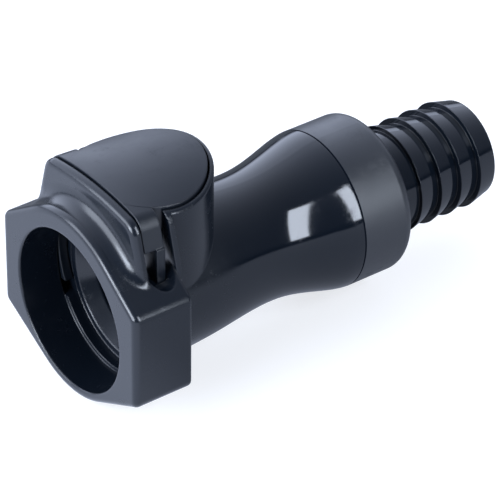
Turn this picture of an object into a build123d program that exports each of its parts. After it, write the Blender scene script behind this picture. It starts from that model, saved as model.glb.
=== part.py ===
"""Female half of a plastic quick disconnect coupling with a thumb latch and a shut-off valve.

The bore axis is X: the mating mouth is at the origin and the hose barb points along +X.
+Z is up through the thumb button. All sizes are in millimetres.
"""
from build123d import *
from math import cos, radians, sin, tan
import os

# ---- Mouth and bezel -------------------------------------------------------
mouth_radius = 13.0          # bore that takes the mating insert
mouth_depth = 6.9            # depth of that bore, to the step behind it
mouth_edge = 0.2             # bevel of the mouth's edge
bezel_side_wall = 4.2        # wall between the mouth and the upright flats
bezel_bottom_wall = 1.6      # wall between the mouth and the two lower flats
bezel_top_wall = 3.4         # wall between the mouth and the two upper flats
bezel_depth = 10.2
lower_flat_angle = 27.5      # slope of the two lower flats
upper_flat_angle = 34.5      # slope of the two upper flats
bezel_corner = 1.5           # rounding of the prism's long edges
bezel_front_edge = 1.0       # rounding of the front edge
bezel_rear_edge = 0.6        # rounding of the rear edge

# ---- Socket behind the mouth -----------------------------------------------
mouth_step = 0.7             # height of the step behind the mouth
latch_bore_end = 8.9         # end of the bore behind that step
lead_in_radius = 11.2        # wide end of the cone that guides the insert's nose
lead_in_length = 2.3
seal_radius = 9.6            # bore that the insert's own seal slides in
seal_end = 22.0
orifice_radius = 7.0         # hole that the valve shuts
orifice_length = 1.6
seat_slope = 45.0            # slope of the valve seat's cone

# ---- Tube and bulb ---------------------------------------------------------
waist_radius = 12.3
waist_x = 10.0
middle_radius = 11.35
middle_x = 21.5
throat_radius = 10.45        # slimmest place, ahead of the swell
throat_x = 34.5
swell_radius = 11.8
swell_x = 41.0
shoulder_radius = 12.8       # where the hose end starts
shoulder_x = 45.6
chamber_radius = 8.7         # valve chamber
guide_seat_x = 38.0          # ledge that the valve guide rests on
joint_radius = 9.4           # counterbore that takes the guide and the hose end's spigot

# ---- Latch housing ---------------------------------------------------------
front_wall_x = 3.7
front_wall = 1.35
rear_wall_x = 10.0           # rear side of the slot that the latch slides in
rear_wall = 0.9
housing_radius = 11.0        # half-round rear of the housing
housing_centre_x = 12.8
housing_rim = 0.65           # wall round the button
front_top = 20.7             # height of the crowned top and its fall to the long edges,
front_fall = 0.9             # at the front,
middle_top = 21.1
middle_fall = 2.2            # over the housing's middle,
rear_top = 21.3
rear_fall = 2.4              # and at the rear
side_half = 13.9             # half width at the foot of the splayed sides
side_z = 9.5                 # height of that foot
side_splay = 0.27            # widening of a side per unit of height
tuck_half = 11.5             # where the sides run back under, into the tube
tuck_z = 3.5
shoulder_round = 2.7         # rounding of the top's long edges
front_wall_edge = 1.0        # rounding of the front wall's upper edge
rim_edge = 0.45              # rounding of the rim's outer edge
swoop_radius = 2.4           # hollow between bezel and front wall
pocket_floor = 13.9
window_floor = 9.4           # bottom of the round-ended side windows

# ---- Thumb latch -----------------------------------------------------------
latch_gap = 0.25             # running gap round the latch plate
button_gap = 0.3             # gap round the button
button_proud = 0.35          # height of the button above the rim
latch_thickness = 3.3        # upper plate, with the pads that show in the windows
latch_travel = 2.0
leg_wall = 1.9               # widest part of a leg, outside the mouth's radius
leg_inset = 0.4              # the legs' upper ends stand inside the mouth's radius by this
leg_foot_z = -4.2
leg_opening = 7.5            # half the gap between the legs' lower ends
pad_inset = 0.15             # step of the pads behind the housing's sides
spring_x = 15.0              # upright axis of the latch spring
button_hollow_radius = 4.4
button_skirt_z = 16.2
button_ceiling_z = 18.6      # underside of the button's hollow

# ---- Valve -----------------------------------------------------------------
valve_gap = 0.15             # gap between the closed valve and its seat
stem_radius = 1.9
stem_clearance = 0.05
stem_edge = 0.6
boss_radius = 4.75           # boss between head and stem
boss_length = 0.8
boss_slope = 0.8             # length of the cone from boss to stem
stem_reach = 0.5             # the stem stands out of the guide by this
head_radius = 8.0
head_length = 2.6
nose_radius = 6.2
nose_length = 2.6
nose_edge = 1.0
seal_section = 0.9           # radius of the valve ring's section
seal_sink = 1.17             # depth of the ring's groove
seal_play = 0.1              # the groove is wider than the ring by this
guide_length = 3.0
guide_hub_radius = 3.6
guide_rim = 1.3
guide_spokes = 4
guide_spoke_width = 1.6

# ---- Springs ---------------------------------------------------------------
latch_spring_radius = 2.6
latch_spring_wire = 0.3
latch_spring_turns = 5
valve_spring_radius = 5.2
valve_spring_wire = 0.4
valve_spring_turns = 4.5
spring_seat_gap = 0.05       # gap at each end of a resting spring

# ---- Hose end --------------------------------------------------------------
collar_length = 9.6
collar_edge = 1.8
neck_radius = 8.0
lip_radius = 8.7             # crest of the barbs
lip_count = 4
lip_pitch = 3.9
first_lip_x = 59.8
lip_step = 0.95              # height of each barb's step
barb_end_x = 75.0
flow_radius = 6.4
spigot_clearance = 0.05
spigot_bore_radius = 7.6
spigot_taper = 2.0           # the spigot's bore narrows to here inside the collar

os.makedirs("parts", exist_ok=True)


# ---- Worked-out sizes ------------------------------------------------------
bezel_half_width = mouth_radius + bezel_side_wall
lower_flat_distance = mouth_radius + bezel_bottom_wall
upper_flat_distance = mouth_radius + bezel_top_wall
latch_bore_radius = mouth_radius - mouth_step
slot_front_x = front_wall_x + front_wall
latch_front_x = slot_front_x + latch_gap
latch_rear_x = latch_front_x + latch_thickness
slot_end_radius = 0.49 * (rear_wall_x - slot_front_x)
leg_front_x = mouth_depth + latch_gap
pad_foot_z = mouth_radius + latch_travel
button_radius = housing_radius - housing_rim - button_gap
housing_end_x = housing_centre_x + housing_radius
orifice_end_x = seal_end + orifice_length
chamber_x = orifice_end_x + (chamber_radius - orifice_radius) / tan(radians(seat_slope))
guide_end_x = guide_seat_x + guide_length
collar_end_x = shoulder_x + collar_length
spigot_taper_x = shoulder_x + spigot_taper
head_x = orifice_end_x + (head_radius - orifice_radius) / tan(radians(seat_slope)) + valve_gap
head_end_x = head_x + head_length
nose_x = head_x - nose_length
groove_radius = head_radius - seal_sink
groove_end_x = head_x + 2 * seal_section + seal_play
stem_end_x = guide_end_x + stem_reach


def bezel_corner_height(distance, angle):
    """Height at which a sloping flat meets the upright flat."""
    return (distance - bezel_half_width * sin(radians(angle))) / cos(radians(angle))


def bezel_face():
    """Six-sided outline: upright sides, sloping flats, and rounded top and bottom."""
    low_z = -bezel_corner_height(lower_flat_distance, lower_flat_angle)
    high_z = bezel_corner_height(upper_flat_distance, upper_flat_angle)
    low_y = lower_flat_distance * sin(radians(lower_flat_angle))
    low_end_z = -lower_flat_distance * cos(radians(lower_flat_angle))
    high_y = upper_flat_distance * sin(radians(upper_flat_angle))
    high_end_z = upper_flat_distance * cos(radians(upper_flat_angle))
    with BuildSketch() as face:
        with BuildLine():
            Polyline((low_y, low_end_z), (bezel_half_width, low_z), (bezel_half_width, high_z),
                     (high_y, high_end_z))
            ThreePointArc((high_y, high_end_z), (0, upper_flat_distance), (-high_y, high_end_z))
            Polyline((-high_y, high_end_z), (-bezel_half_width, high_z), (-bezel_half_width, low_z),
                     (-low_y, low_end_z))
            ThreePointArc((-low_y, low_end_z), (0, -lower_flat_distance), (low_y, low_end_z))
        make_face()
        fillet(face.vertices().sort_by(SortBy.DISTANCE)[-4:], radius=bezel_corner)
    return face.sketch


def side_half_at(height):
    """Half width of the housing's splayed sides at a height."""
    return side_half - side_splay * (height - side_z)


def housing_section(top, fall, inset):
    """Cross-section of the housing: crowned top, rounded shoulders, splayed sides, tucked-in feet."""
    edge = top - fall
    half_top = side_half_at(edge) - inset
    with BuildSketch() as face:
        with BuildLine():
            ThreePointArc((half_top, edge), (0, top), (-half_top, edge))
            Polyline((-half_top, edge), (inset - side_half, side_z), (inset - tuck_half, tuck_z),
                     (tuck_half - inset, tuck_z), (side_half - inset, side_z), (half_top, edge))
        make_face()
        upper = face.vertices().filter_by_position(Axis.Y, edge - 0.01, edge + 0.01)
        fillet(upper, radius=shoulder_round)
    return face.sketch


def crowned_block(raise_by, inset):
    """Housing form over its whole length; the top turns from nearly flat to crowned."""
    stations = [(front_wall_x, front_top, front_fall),
                (housing_centre_x, middle_top, middle_fall),
                (housing_end_x + 1, rear_top, rear_fall)]
    with BuildPart() as block:
        for station_x, top, fall in stations:
            with BuildSketch(Plane.YZ.offset(station_x)):
                add(housing_section(top + raise_by, fall, inset))
        loft()
    return block.part


def crowned_slice(front_x, rear_x, floor_z, raise_by, inset):
    """The part of that form between two upright planes, above a floor."""
    with BuildPart() as piece:
        add(crowned_block(raise_by, inset))
        with Locations((front_x, 0, floor_z)):
            Box(rear_x - front_x, 4 * bezel_half_width, 2 * rear_top,
                align=(Align.MIN, Align.CENTER, Align.MIN), mode=Mode.INTERSECT)
    return piece.part


def rounded_block(front_x, radius, floor_z, raise_by):
    """Upright block with a straight front and a half-round rear, under the crowned top."""
    with BuildPart() as block:
        with BuildSketch(Plane.XY.offset(floor_z)):
            with Locations((housing_centre_x, 0)):
                Circle(radius)
            with Locations((front_x, 0)):
                Rectangle(2 * housing_end_x, 4 * radius, align=(Align.MIN, Align.CENTER),
                          mode=Mode.INTERSECT)
        extrude(amount=2 * rear_top)
        add(crowned_block(raise_by, 0), mode=Mode.INTERSECT)
    return block.part


def front_wall_piece():
    """Wall ahead of the latch, with its upper front edge rounded."""
    with BuildPart() as wall:
        add(crowned_slice(front_wall_x, slot_front_x, side_z, 0, 0))
        front_face = wall.faces().sort_by(Axis.X)[0]
        fillet(front_face.edges().sort_by(Axis.Z)[1:], radius=front_wall_edge)
    return wall.part


def housing_piece():
    """Half-round housing behind the latch, with its rim's outer edge rounded."""
    with BuildPart() as piece:
        add(rounded_block(rear_wall_x, housing_radius, 0, 0))
        round_side = piece.faces().filter_by(GeomType.CYLINDER)[0]
        fillet(round_side.edges().filter_by_position(Axis.Z, pocket_floor, rear_top), radius=rim_edge)
    return piece.part


def leg_outline(gap, top_z, foot_z):
    """Outer outline of the horseshoe: upright at the top, then widening to the legs' feet."""
    near = mouth_radius - leg_inset + gap
    wide = mouth_radius + leg_wall + gap
    right = [(near, top_z), (near, window_floor), (wide, 0), (wide, foot_z - gap)]
    left = [(-y, z) for y, z in reversed(right)]
    return right + left + [right[0]]


def lies_on_bezel(edge):
    """True for an edge whose both ends lie on the bezel's upper flats or its rounded top."""
    angle = radians(upper_flat_angle)
    for end in (edge @ 0, edge @ 1):
        on_flat = abs(abs(end.Y) * sin(angle) + end.Z * cos(angle) - upper_flat_distance) < 0.02
        on_arc = abs((end.Y ** 2 + end.Z ** 2) ** 0.5 - upper_flat_distance) < 0.02
        if not (on_flat or on_arc):
            return False
    return True


# ---- Body shell: bezel, latch housing, tube and bulb in one moulding --------
with BuildPart() as body_shell:
    with BuildSketch(Plane.YZ):
        add(bezel_face())
    extrude(amount=bezel_depth)
    rear_edges = body_shell.edges().filter_by_position(Axis.X, bezel_depth - 0.01, bezel_depth + 0.01)
    fillet(rear_edges, radius=bezel_rear_edge)
    add(front_wall_piece())
    wall_edges = body_shell.edges().filter_by_position(Axis.X, front_wall_x - 0.01, front_wall_x + 0.01)
    fillet([edge for edge in wall_edges if lies_on_bezel(edge)], radius=swoop_radius)
    front_edges = body_shell.edges().filter_by_position(Axis.X, -0.01, 0.01)
    fillet(front_edges, radius=bezel_front_edge)
    # tube and bulb
    with BuildSketch(Plane.XZ):
        with BuildLine():
            Spline((waist_x, waist_radius), (middle_x, middle_radius), (throat_x, throat_radius),
                   (swell_x, swell_radius), (shoulder_x, shoulder_radius),
                   tangents=((1, -0.1), (1, 0.08)))
            Polyline((shoulder_x, shoulder_radius), (shoulder_x, 0), (bezel_front_edge, 0),
                     (bezel_front_edge, waist_radius), (waist_x, waist_radius))
        make_face()
    revolve(axis=Axis.X)
    # housing behind the latch, with the rear wall of the slot
    add(housing_piece())
    add(crowned_slice(rear_wall_x, rear_wall_x + rear_wall, tuck_z, 0, 0))
    # slot for the latch, with a round-ended window at each side, and the button's pocket
    with BuildSketch(Plane.XZ):
        with Locations((slot_front_x, window_floor)):
            Rectangle(rear_wall_x - slot_front_x, 2 * rear_top, align=Align.MIN)
        fillet(vertices().group_by(Axis.Y)[0], radius=slot_end_radius)
    extrude(amount=2 * bezel_half_width, both=True, mode=Mode.SUBTRACT)
    add(rounded_block(slot_front_x, button_radius + button_gap, pocket_floor, 2), mode=Mode.SUBTRACT)
    # slot behind the mouth that the latch's legs run in
    with BuildSketch(Plane.YZ.offset(mouth_depth)):
        with BuildLine():
            Polyline(leg_outline(latch_gap, window_floor + slot_end_radius, leg_foot_z - latch_travel))
        make_face()
        Circle(latch_bore_radius, mode=Mode.SUBTRACT)
        Rectangle(2 * leg_opening, 4 * mouth_radius, mode=Mode.SUBTRACT)
    extrude(amount=latch_rear_x + latch_gap - mouth_depth, mode=Mode.SUBTRACT)
    # stepped bore, valve seat and chamber
    with BuildSketch(Plane.XZ):
        with BuildLine():
            Polyline((-1, 0), (-1, mouth_radius + mouth_edge + 1), (mouth_edge, mouth_radius),
                     (mouth_depth, mouth_radius), (mouth_depth, latch_bore_radius),
                     (latch_bore_end, latch_bore_radius), (latch_bore_end, lead_in_radius),
                     (latch_bore_end + lead_in_length, seal_radius), (seal_end, seal_radius),
                     (seal_end, orifice_radius), (orifice_end_x, orifice_radius),
                     (chamber_x, chamber_radius), (guide_seat_x, chamber_radius),
                     (guide_seat_x, joint_radius), (shoulder_x + 1, joint_radius), (shoulder_x + 1, 0),
                     (-1, 0))
        make_face()
    revolve(axis=Axis.X, mode=Mode.SUBTRACT)

body_shell.part.label = "body_shell"
export_step(body_shell.part, "parts/body_shell.step")


# ---- Thumb latch: button, side pads and horseshoe plate in one moulding ------
with BuildPart() as thumb_latch:
    add(rounded_block(latch_front_x, button_radius, button_skirt_z, button_proud))
    # plate with the pads that show in the side windows
    add(crowned_slice(latch_front_x, latch_rear_x, pad_foot_z, button_proud, pad_inset))
    # horseshoe whose lower ends catch behind the insert's flange
    with BuildSketch(Plane.YZ.offset(leg_front_x)):
        with BuildLine():
            Polyline(leg_outline(0, pad_foot_z, leg_foot_z))
        make_face()
        with Locations((0, latch_travel)):
            Circle(mouth_radius, mode=Mode.SUBTRACT)
        with Locations((0, leg_foot_z)):
            Rectangle(2 * leg_opening, 2 * mouth_radius, align=(Align.CENTER, Align.MAX),
                      mode=Mode.SUBTRACT)
    extrude(amount=latch_rear_x - leg_front_x)
    # hollow under the button that the spring sits in
    with BuildSketch(Plane.XY.offset(button_skirt_z)):
        with Locations((spring_x, 0)):
            Circle(button_hollow_radius)
    extrude(amount=button_ceiling_z - button_skirt_z, mode=Mode.SUBTRACT)

thumb_latch.part.label = "thumb_latch"
export_step(thumb_latch.part, "parts/thumb_latch.step")


def coil_spring(place, radius, wire, turns, length):
    """Open helical spring that stands on the given plane and grows along its normal."""
    rise = length - 2 * wire
    with BuildPart() as spring:
        with BuildLine():
            path = Helix(pitch=rise / turns, height=rise, radius=radius)
        with BuildSketch(Plane(origin=path @ 0, z_dir=path % 0)):
            Circle(wire)
        sweep(path=path, is_frenet=True)
    return place * Pos(0, 0, wire) * spring.part


# ---- Latch spring: stands in the pocket and lifts the button ------------------
latch_spring = coil_spring(Plane((spring_x, 0, pocket_floor + spring_seat_gap)), latch_spring_radius,
                           latch_spring_wire, latch_spring_turns,
                           button_ceiling_z - pocket_floor - 2 * spring_seat_gap)
latch_spring.label = "latch_spring"
export_step(latch_spring, "parts/latch_spring.step")

# ---- Valve poppet: nose, head with a seal groove, and a guided stem -----------
with BuildPart() as valve_poppet:
    with BuildSketch(Plane.XZ):
        with BuildLine():
            Polyline((nose_x, 0), (nose_x, nose_radius - nose_edge), (nose_x + nose_edge, nose_radius),
                     (head_x, nose_radius), (head_x, groove_radius), (groove_end_x, groove_radius),
                     (groove_end_x, head_radius), (head_end_x, head_radius), (head_end_x, boss_radius),
                     (head_end_x + boss_length, boss_radius),
                     (head_end_x + boss_length + boss_slope, stem_radius),
                     (stem_end_x - stem_edge, stem_radius), (stem_end_x, stem_radius - stem_edge),
                     (stem_end_x, 0), (nose_x, 0))
        make_face()
    revolve(axis=Axis.X)

valve_poppet.part.label = "valve_poppet"
export_step(valve_poppet.part, "parts/valve_poppet.step")

# ---- Valve seal: rubber ring in the head's groove ------------------------------
with BuildPart() as valve_seal:
    with BuildSketch(Plane.XZ):
        with Locations(((head_x + groove_end_x) / 2, groove_radius + seal_section)):
            Circle(seal_section)
    revolve(axis=Axis.X)

valve_seal.part.label = "valve_seal"
export_step(valve_seal.part, "parts/valve_seal.step")

# ---- Valve spring: pushes the head against the seat ----------------------------
valve_spring = coil_spring(Plane(origin=(head_end_x + spring_seat_gap, 0, 0), z_dir=(1, 0, 0)),
                           valve_spring_radius, valve_spring_wire, valve_spring_turns,
                           guide_seat_x - head_end_x - 2 * spring_seat_gap)
valve_spring.label = "valve_spring"
export_step(valve_spring, "parts/valve_spring.step")

# ---- Valve guide: ring, spokes and hub that the stem slides in -----------------
with BuildPart() as valve_guide:
    with BuildSketch(Plane.YZ.offset(guide_seat_x)):
        Circle(joint_radius - spigot_clearance)
        Circle(joint_radius - spigot_clearance - guide_rim, mode=Mode.SUBTRACT)
        with PolarLocations(0, guide_spokes):
            Rectangle(joint_radius - guide_rim / 2, guide_spoke_width, align=(Align.MIN, Align.CENTER))
        Circle(guide_hub_radius)
        Circle(stem_radius + stem_clearance, mode=Mode.SUBTRACT)
    extrude(amount=guide_length)

valve_guide.part.label = "valve_guide"
export_step(valve_guide.part, "parts/valve_guide.step")

# ---- Hose end: spigot, collar and barbed tail in one moulding -------------------
with BuildPart() as hose_barb:
    with BuildSketch(Plane.XZ):
        with BuildLine():
            Polyline((guide_end_x, spigot_bore_radius), (guide_end_x, joint_radius - spigot_clearance),
                     (shoulder_x, joint_radius - spigot_clearance), (shoulder_x, shoulder_radius),
                     (collar_end_x - collar_edge, shoulder_radius))
            RadiusArc((collar_end_x - collar_edge, shoulder_radius),
                      (collar_end_x, shoulder_radius - collar_edge), collar_edge)
            tail = [(collar_end_x, shoulder_radius - collar_edge), (collar_end_x, neck_radius),
                    (first_lip_x, neck_radius)]
            for index in range(lip_count):
                lip_x = first_lip_x + index * lip_pitch
                next_x = min(lip_x + lip_pitch, barb_end_x)
                foot = lip_radius - lip_step * (next_x - lip_x) / lip_pitch
                tail += [(lip_x, lip_radius), (next_x, foot)]
            tail += [(barb_end_x, flow_radius), (spigot_taper_x, flow_radius),
                     (guide_end_x, spigot_bore_radius)]
            Polyline(tail)
        make_face()
    revolve(axis=Axis.X)

hose_barb.part.label = "hose_barb"
export_step(hose_barb.part, "parts/hose_barb.step")
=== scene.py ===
"""Looks for the plastic quick disconnect coupling: moulded black plastic under soft studio light."""
import math

import bpy
from mathutils import Matrix, Vector


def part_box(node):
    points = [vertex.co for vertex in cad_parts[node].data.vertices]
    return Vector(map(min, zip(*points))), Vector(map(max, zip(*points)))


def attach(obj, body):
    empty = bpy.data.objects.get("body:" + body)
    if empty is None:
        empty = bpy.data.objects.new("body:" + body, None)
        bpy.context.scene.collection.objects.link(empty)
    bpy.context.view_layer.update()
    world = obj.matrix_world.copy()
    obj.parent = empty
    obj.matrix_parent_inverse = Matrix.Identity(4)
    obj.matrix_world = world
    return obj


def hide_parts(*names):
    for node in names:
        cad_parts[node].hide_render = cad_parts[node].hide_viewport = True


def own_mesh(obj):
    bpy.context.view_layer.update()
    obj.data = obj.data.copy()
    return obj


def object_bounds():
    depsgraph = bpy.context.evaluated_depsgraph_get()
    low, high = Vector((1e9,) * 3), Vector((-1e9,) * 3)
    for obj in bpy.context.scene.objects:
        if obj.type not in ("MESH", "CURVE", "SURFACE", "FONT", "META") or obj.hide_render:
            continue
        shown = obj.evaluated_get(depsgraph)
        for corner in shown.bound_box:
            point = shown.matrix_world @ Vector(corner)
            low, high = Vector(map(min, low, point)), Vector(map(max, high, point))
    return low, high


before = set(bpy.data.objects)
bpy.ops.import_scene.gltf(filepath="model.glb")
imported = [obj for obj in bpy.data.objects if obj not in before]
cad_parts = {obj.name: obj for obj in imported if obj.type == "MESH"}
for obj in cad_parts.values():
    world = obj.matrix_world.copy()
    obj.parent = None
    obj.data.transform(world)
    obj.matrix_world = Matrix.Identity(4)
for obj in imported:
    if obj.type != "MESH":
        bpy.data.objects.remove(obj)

MM = 0.001
CAD_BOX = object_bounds()
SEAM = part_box("body_shell")[1][0]           # where the body shell meets the hose end
COLLAR_LENGTH = 9.6 * MM
COLLAR_END = SEAM + COLLAR_LENGTH
HOUSING_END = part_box("thumb_latch")[1][0]

BLACK = (0.0036, 0.0058, 0.0096)
COOL = (0.71, 0.79, 1.0)                    # tint of the tent and of what the table gives back
LAMP_COLOUR = (0.78, 0.86, 1.0)
SCUFF = 0.15                                # roughness that a full scuff adds
JOINT_LINE_HALF = 0.1 * MM                  # half width of the band with no gloss at the seam
JOINT_LINE_FADE = 0.2 * MM                  # where the gloss is back
BLEND_HALF = 0.5 * MM                       # half length of a change of finish


# ---- Shader helpers --------------------------------------------------------
def new_material(name):
    """A node material with an empty tree, its Principled shader and its tree."""
    material = bpy.data.materials.new(name)
    material.use_nodes = True
    tree = material.node_tree
    shader = next(found for found in tree.nodes if found.type == "BSDF_PRINCIPLED")
    return material, tree, shader


def node(tree, kind, **values):
    """Adds a node and sets its inputs by name."""
    made = tree.nodes.new(kind)
    for key, value in values.items():
        made.inputs[key].default_value = value
    return made


def object_noise(tree, scale, detail=3.0, roughness=0.5):
    """Noise over the object's own coordinates, in metres."""
    place = tree.nodes.new("ShaderNodeTexCoord")
    noise = node(tree, "ShaderNodeTexNoise", Scale=scale, Detail=detail, Roughness=roughness)
    tree.links.new(place.outputs["Object"], noise.inputs["Vector"])
    return noise.outputs["Fac"]


def spread(tree, value, low, high, start=0.0, end=1.0):
    """Maps start..end to low..high and holds the ends."""
    made = node(tree, "ShaderNodeMapRange")
    made.inputs["From Min"].default_value = start
    made.inputs["From Max"].default_value = end
    made.inputs["To Min"].default_value = low
    made.inputs["To Max"].default_value = high
    tree.links.new(value, made.inputs["Value"])
    return made.outputs["Result"]


def along(tree, axis, start, end, low, high):
    """Value that turns smoothly from low to high between two places on an axis, in metres."""
    place = tree.nodes.new("ShaderNodeTexCoord")
    parts = tree.nodes.new("ShaderNodeSeparateXYZ")
    tree.links.new(place.outputs["Object"], parts.inputs["Vector"])
    made = node(tree, "ShaderNodeMapRange")
    made.interpolation_type = "SMOOTHSTEP"
    for key, value in (("From Min", start), ("From Max", end), ("To Min", low), ("To Max", high)):
        made.inputs[key].default_value = value
    tree.links.new(parts.outputs[axis], made.inputs["Value"])
    return made.outputs["Result"]


def combine(tree, operation, first, second):
    """Joins two values with one arithmetic step."""
    made = tree.nodes.new("ShaderNodeMath")
    made.operation = operation
    for index, value in enumerate((first, second)):
        if isinstance(value, float):
            made.inputs[index].default_value = value
        else:
            tree.links.new(value, made.inputs[index])
    return made.outputs["Value"]


def shine(tree):
    """Specular level: plain plastic, none in the joint line at the seam, and more on the collar."""
    before_seam = along(tree, "X", SEAM - JOINT_LINE_FADE, SEAM - JOINT_LINE_HALF, 0.5, 0.0)
    after_seam = along(tree, "X", SEAM + JOINT_LINE_HALF, SEAM + JOINT_LINE_FADE, 0.0, 1.0)
    collar_shine = along(tree, "X", COLLAR_END - BLEND_HALF, COLLAR_END + BLEND_HALF, 1.0, 0.5)
    return combine(tree, "ADD", before_seam, combine(tree, "MULTIPLY", after_seam, collar_shine))


def plastic(name, colour, gloss, skin_scale, skin_height, edge_radius):
    """Moulded plastic: uneven gloss, a fine skin, softly broken edges and a dark joint line.

    gloss is (roughness before, roughness after, where it changes starts, where it ends).
    """
    material, tree, shader = new_material(name)
    shader.inputs["Base Color"].default_value = (*colour, 1.0)
    shader.inputs["IOR"].default_value = 1.5
    rough_before, rough_after, change_start, change_end = gloss
    base = along(tree, "X", change_start, change_end, rough_before, rough_after)
    mottle = spread(tree, object_noise(tree, 160.0), 0.75, 1.3)
    streak = spread(tree, object_noise(tree, 1400.0, 4.0, 0.7), 0.9, 1.12)
    moulded = combine(tree, "MULTIPLY", combine(tree, "MULTIPLY", base, mottle), streak)
    scuffs = spread(tree, object_noise(tree, 260.0, 8.0, 0.8), 0.0, SCUFF, 0.55, 0.67)
    rough = combine(tree, "ADD", moulded, scuffs)
    tree.links.new(rough, shader.inputs["Roughness"])
    tree.links.new(shine(tree), shader.inputs["Specular IOR Level"])
    edge = node(tree, "ShaderNodeBevel", Radius=edge_radius)
    edge.samples = 6
    skin = node(tree, "ShaderNodeBump", Strength=1.0, Distance=skin_height)
    tree.links.new(object_noise(tree, skin_scale, 2.0), skin.inputs["Height"])
    tree.links.new(edge.outputs["Normal"], skin.inputs["Normal"])
    tree.links.new(skin.outputs["Normal"], shader.inputs["Normal"])
    return material


def pressed_spring(name):
    """Copy of a coil that stands in for it, attached to the body, with the original hidden.
    """
    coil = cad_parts[name].copy()
    coil.data = coil.data.copy()
    coil.name = "pressed_" + name
    coil.parent = None
    coil.matrix_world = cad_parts[name].matrix_world.copy()
    bpy.context.scene.collection.objects.link(coil)
    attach(coil, "body")
    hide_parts(name)
    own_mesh(coil)
    return coil


def finish_node(name, material):
    """Gives a carried-over node its material."""
    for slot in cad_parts[name].material_slots:
        slot.material = material


# ---- Materials -------------------------------------------------------------
shell_plastic = plastic("shell_plastic", BLACK, (0.2, 0.075, HOUSING_END - 2 * MM, HOUSING_END + 3 * MM),
                        2600.0, 4e-7, 0.4 * MM)
latch_plastic = plastic("latch_plastic", BLACK, (0.3, 0.36, 0.0, HOUSING_END), 4200.0, 6e-7, 0.35 * MM)
tail_plastic = plastic("tail_plastic", BLACK, (0.38, 0.09, COLLAR_END - BLEND_HALF, COLLAR_END + BLEND_HALF),
                       3200.0, 6e-7, 0.2 * MM)
# Lighter than the shell's black as painted light: it brightens the valve seen inside the mouth.
valve_plastic = plastic("valve_plastic", (0.016, 0.016, 0.018), (0.35, 0.4, 0.0, SEAM),
                        4200.0, 3e-6, 0.2 * MM)
rubber = plastic("seal_rubber", (0.012, 0.012, 0.012), (0.5, 0.6, 0.0, SEAM), 6000.0, 5e-6, 0.1 * MM)
steel = plastic("spring_steel", (0.5, 0.5, 0.5), (0.28, 0.32, 0.0, SEAM), 5000.0, 1.5e-6, 0.05 * MM)
steel.node_tree.nodes["Principled BSDF"].inputs["Metallic"].default_value = 1.0

FINISHES = {
    "body_shell": shell_plastic,
    "thumb_latch": latch_plastic,
    "hose_barb": tail_plastic,
    "valve_poppet": valve_plastic,
    "valve_guide": valve_plastic,
    "valve_seal": rubber,
    "latch_spring": steel,
    "valve_spring": steel,
}
for node_name, finish in FINISHES.items():
    finish_node(node_name, finish)

# ---- Spring copies that stand in for the coils -------------------------------
pressed_spring("latch_spring")
pressed_spring("valve_spring")


# ---- Camera ----------------------------------------------------------------
CAMERA_AIM = Vector((33.3156, 0.0, -2.6494)) * MM
CAMERA_DISTANCE = 531.948 * MM
CAMERA_AZIMUTH = math.radians(37.046)
CAMERA_ELEVATION = math.radians(35.055)
CAMERA_ROLL = math.radians(0.793)
CAMERA_LENS = 252.0

forward = Vector((math.sin(CAMERA_AZIMUTH) * math.cos(CAMERA_ELEVATION),
                  math.cos(CAMERA_AZIMUTH) * math.cos(CAMERA_ELEVATION), -math.sin(CAMERA_ELEVATION)))
level_right = forward.cross(Vector((0, 0, 1))).normalized()
level_up = level_right.cross(forward)
right = level_right * math.cos(CAMERA_ROLL) + level_up * math.sin(CAMERA_ROLL)
up = right.cross(forward)
camera_data = bpy.data.cameras.new("camera")
camera_data.lens = CAMERA_LENS
camera_data.sensor_width = 36.0
camera_data.clip_start = 0.01
camera = bpy.data.objects.new("camera", camera_data)
camera.matrix_world = Matrix.Translation(CAMERA_AIM - forward * CAMERA_DISTANCE) @ Matrix(
    (right, up, -forward)).transposed().to_4x4()
bpy.context.scene.collection.objects.link(camera)
bpy.context.scene.camera = camera


# ---- Floor, world and lamps --------------------------------------------------
def soft_box(name, direction, distance, width, height, radiance):
    """Rectangular studio panel of an even brightness that faces the object."""
    data = bpy.data.lights.new(name, "AREA")
    data.shape = "RECTANGLE"
    data.size = width
    data.size_y = height
    data.energy = radiance * math.pi * width * height
    data.color = LAMP_COLOUR
    lamp = bpy.data.objects.new(name, data)
    towards = Vector(direction).normalized()
    lamp.location = CAMERA_AIM + towards * distance
    lamp.rotation_euler = (-towards).to_track_quat("-Z", "Y").to_euler()
    bpy.context.scene.collection.objects.link(lamp)
    return lamp


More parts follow.
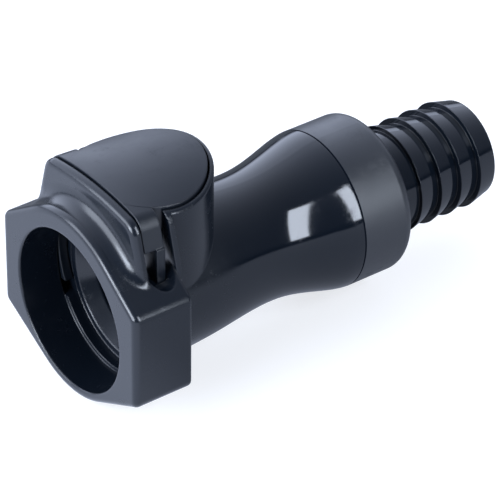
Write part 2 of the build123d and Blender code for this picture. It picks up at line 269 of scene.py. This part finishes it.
def floor_material(glow, shade, albedo):
    """White to the camera, where it takes the object's shadow, and a dim table to everything else.

    The table glows with painted light, bright in front of the mouth and dark beside the tail.
    """
    material, tree, shader = new_material("floor_white")
    shader.inputs["Base Color"].default_value = (albedo, albedo, albedo, 1.0)
    shader.inputs["Roughness"].default_value = 0.9
    shader.inputs["Emission Color"].default_value = (*COOL, 1.0)
    # Painted light: the table's glow, strong in front of the mouth and fading beside the tail.
    painted_glow_before_mouth = along(tree, "X", -12 * MM, 40 * MM, 1.5, 0.0)
    painted_glow_in_front = along(tree, "Y", -30 * MM, 30 * MM, 0.55, 0.05)
    tree.links.new(combine(tree, "MAXIMUM", painted_glow_before_mouth, painted_glow_in_front), shader.inputs["Emission Strength"])
    white = node(tree, "ShaderNodeEmission", Color=(glow, glow, glow, 1.0), Strength=1.0)
    matt = node(tree, "ShaderNodeBsdfDiffuse", Color=(shade, shade, shade, 1.0))
    seen = tree.nodes.new("ShaderNodeAddShader")
    path = tree.nodes.new("ShaderNodeLightPath")
    mix = tree.nodes.new("ShaderNodeMixShader")
    output = next(made for made in tree.nodes if made.type == "OUTPUT_MATERIAL")
    tree.links.new(white.outputs["Emission"], seen.inputs[0])
    tree.links.new(matt.outputs["BSDF"], seen.inputs[1])
    tree.links.new(path.outputs["Is Camera Ray"], mix.inputs["Fac"])
    tree.links.new(shader.outputs["BSDF"], mix.inputs[1])
    tree.links.new(seen.outputs["Shader"], mix.inputs[2])
    tree.links.new(mix.outputs["Shader"], output.inputs["Surface"])
    return material


def studio_world(strength, slope):
    """Tent that is brightest low behind the object and fades overhead and towards the front."""
    world = bpy.data.worlds.new("studio")
    world.use_nodes = True
    tree = world.node_tree
    background = tree.nodes["Background"]
    background.inputs["Color"].default_value = (*COOL, 1.0)
    place = tree.nodes.new("ShaderNodeTexCoord")
    parts = tree.nodes.new("ShaderNodeSeparateXYZ")
    tree.links.new(place.outputs["Generated"], parts.inputs["Vector"])
    fade = combine(tree, "POWER", math.exp(slope), parts.outputs["Y"])
    rise = node(tree, "ShaderNodeMapRange")
    rise.interpolation_type = "SMOOTHSTEP"
    rise.inputs["From Max"].default_value = 0.16
    tree.links.new(parts.outputs["Z"], rise.inputs["Value"])
    level = combine(tree, "MULTIPLY", combine(tree, "MULTIPLY", fade, rise.outputs["Result"]), strength)
    tree.links.new(level, background.inputs["Strength"])
    bpy.context.scene.world = world


FLOOR_HALF = 3.0
floor_z = CAD_BOX[0][2]
floor_mesh = bpy.data.meshes.new("floor")
floor_corners = [(-FLOOR_HALF, -FLOOR_HALF), (FLOOR_HALF, -FLOOR_HALF), (FLOOR_HALF, FLOOR_HALF),
                 (-FLOOR_HALF, FLOOR_HALF)]
floor_mesh.from_pydata([(x, y, floor_z) for x, y in floor_corners], [], [(0, 1, 2, 3)])
floor = bpy.data.objects.new("floor", floor_mesh)
floor_mesh.materials.append(floor_material(0.6, 0.5, 0.06))
bpy.context.scene.collection.objects.link(floor)

studio_world(0.62, 1.8)
soft_box("side_box", (0.222, -0.75, 0.43), 0.9, 0.215, 0.75, 15.0)
soft_box("left_panel", (-0.85, 0.3, 0.42), 1.0, 0.9, 0.6, 5.5)
soft_box("mouth_box", (-0.9, -0.15, 0.3), 0.9, 0.45, 0.4, 14.0)

bpy.context.scene.view_settings.view_transform = "Standard"
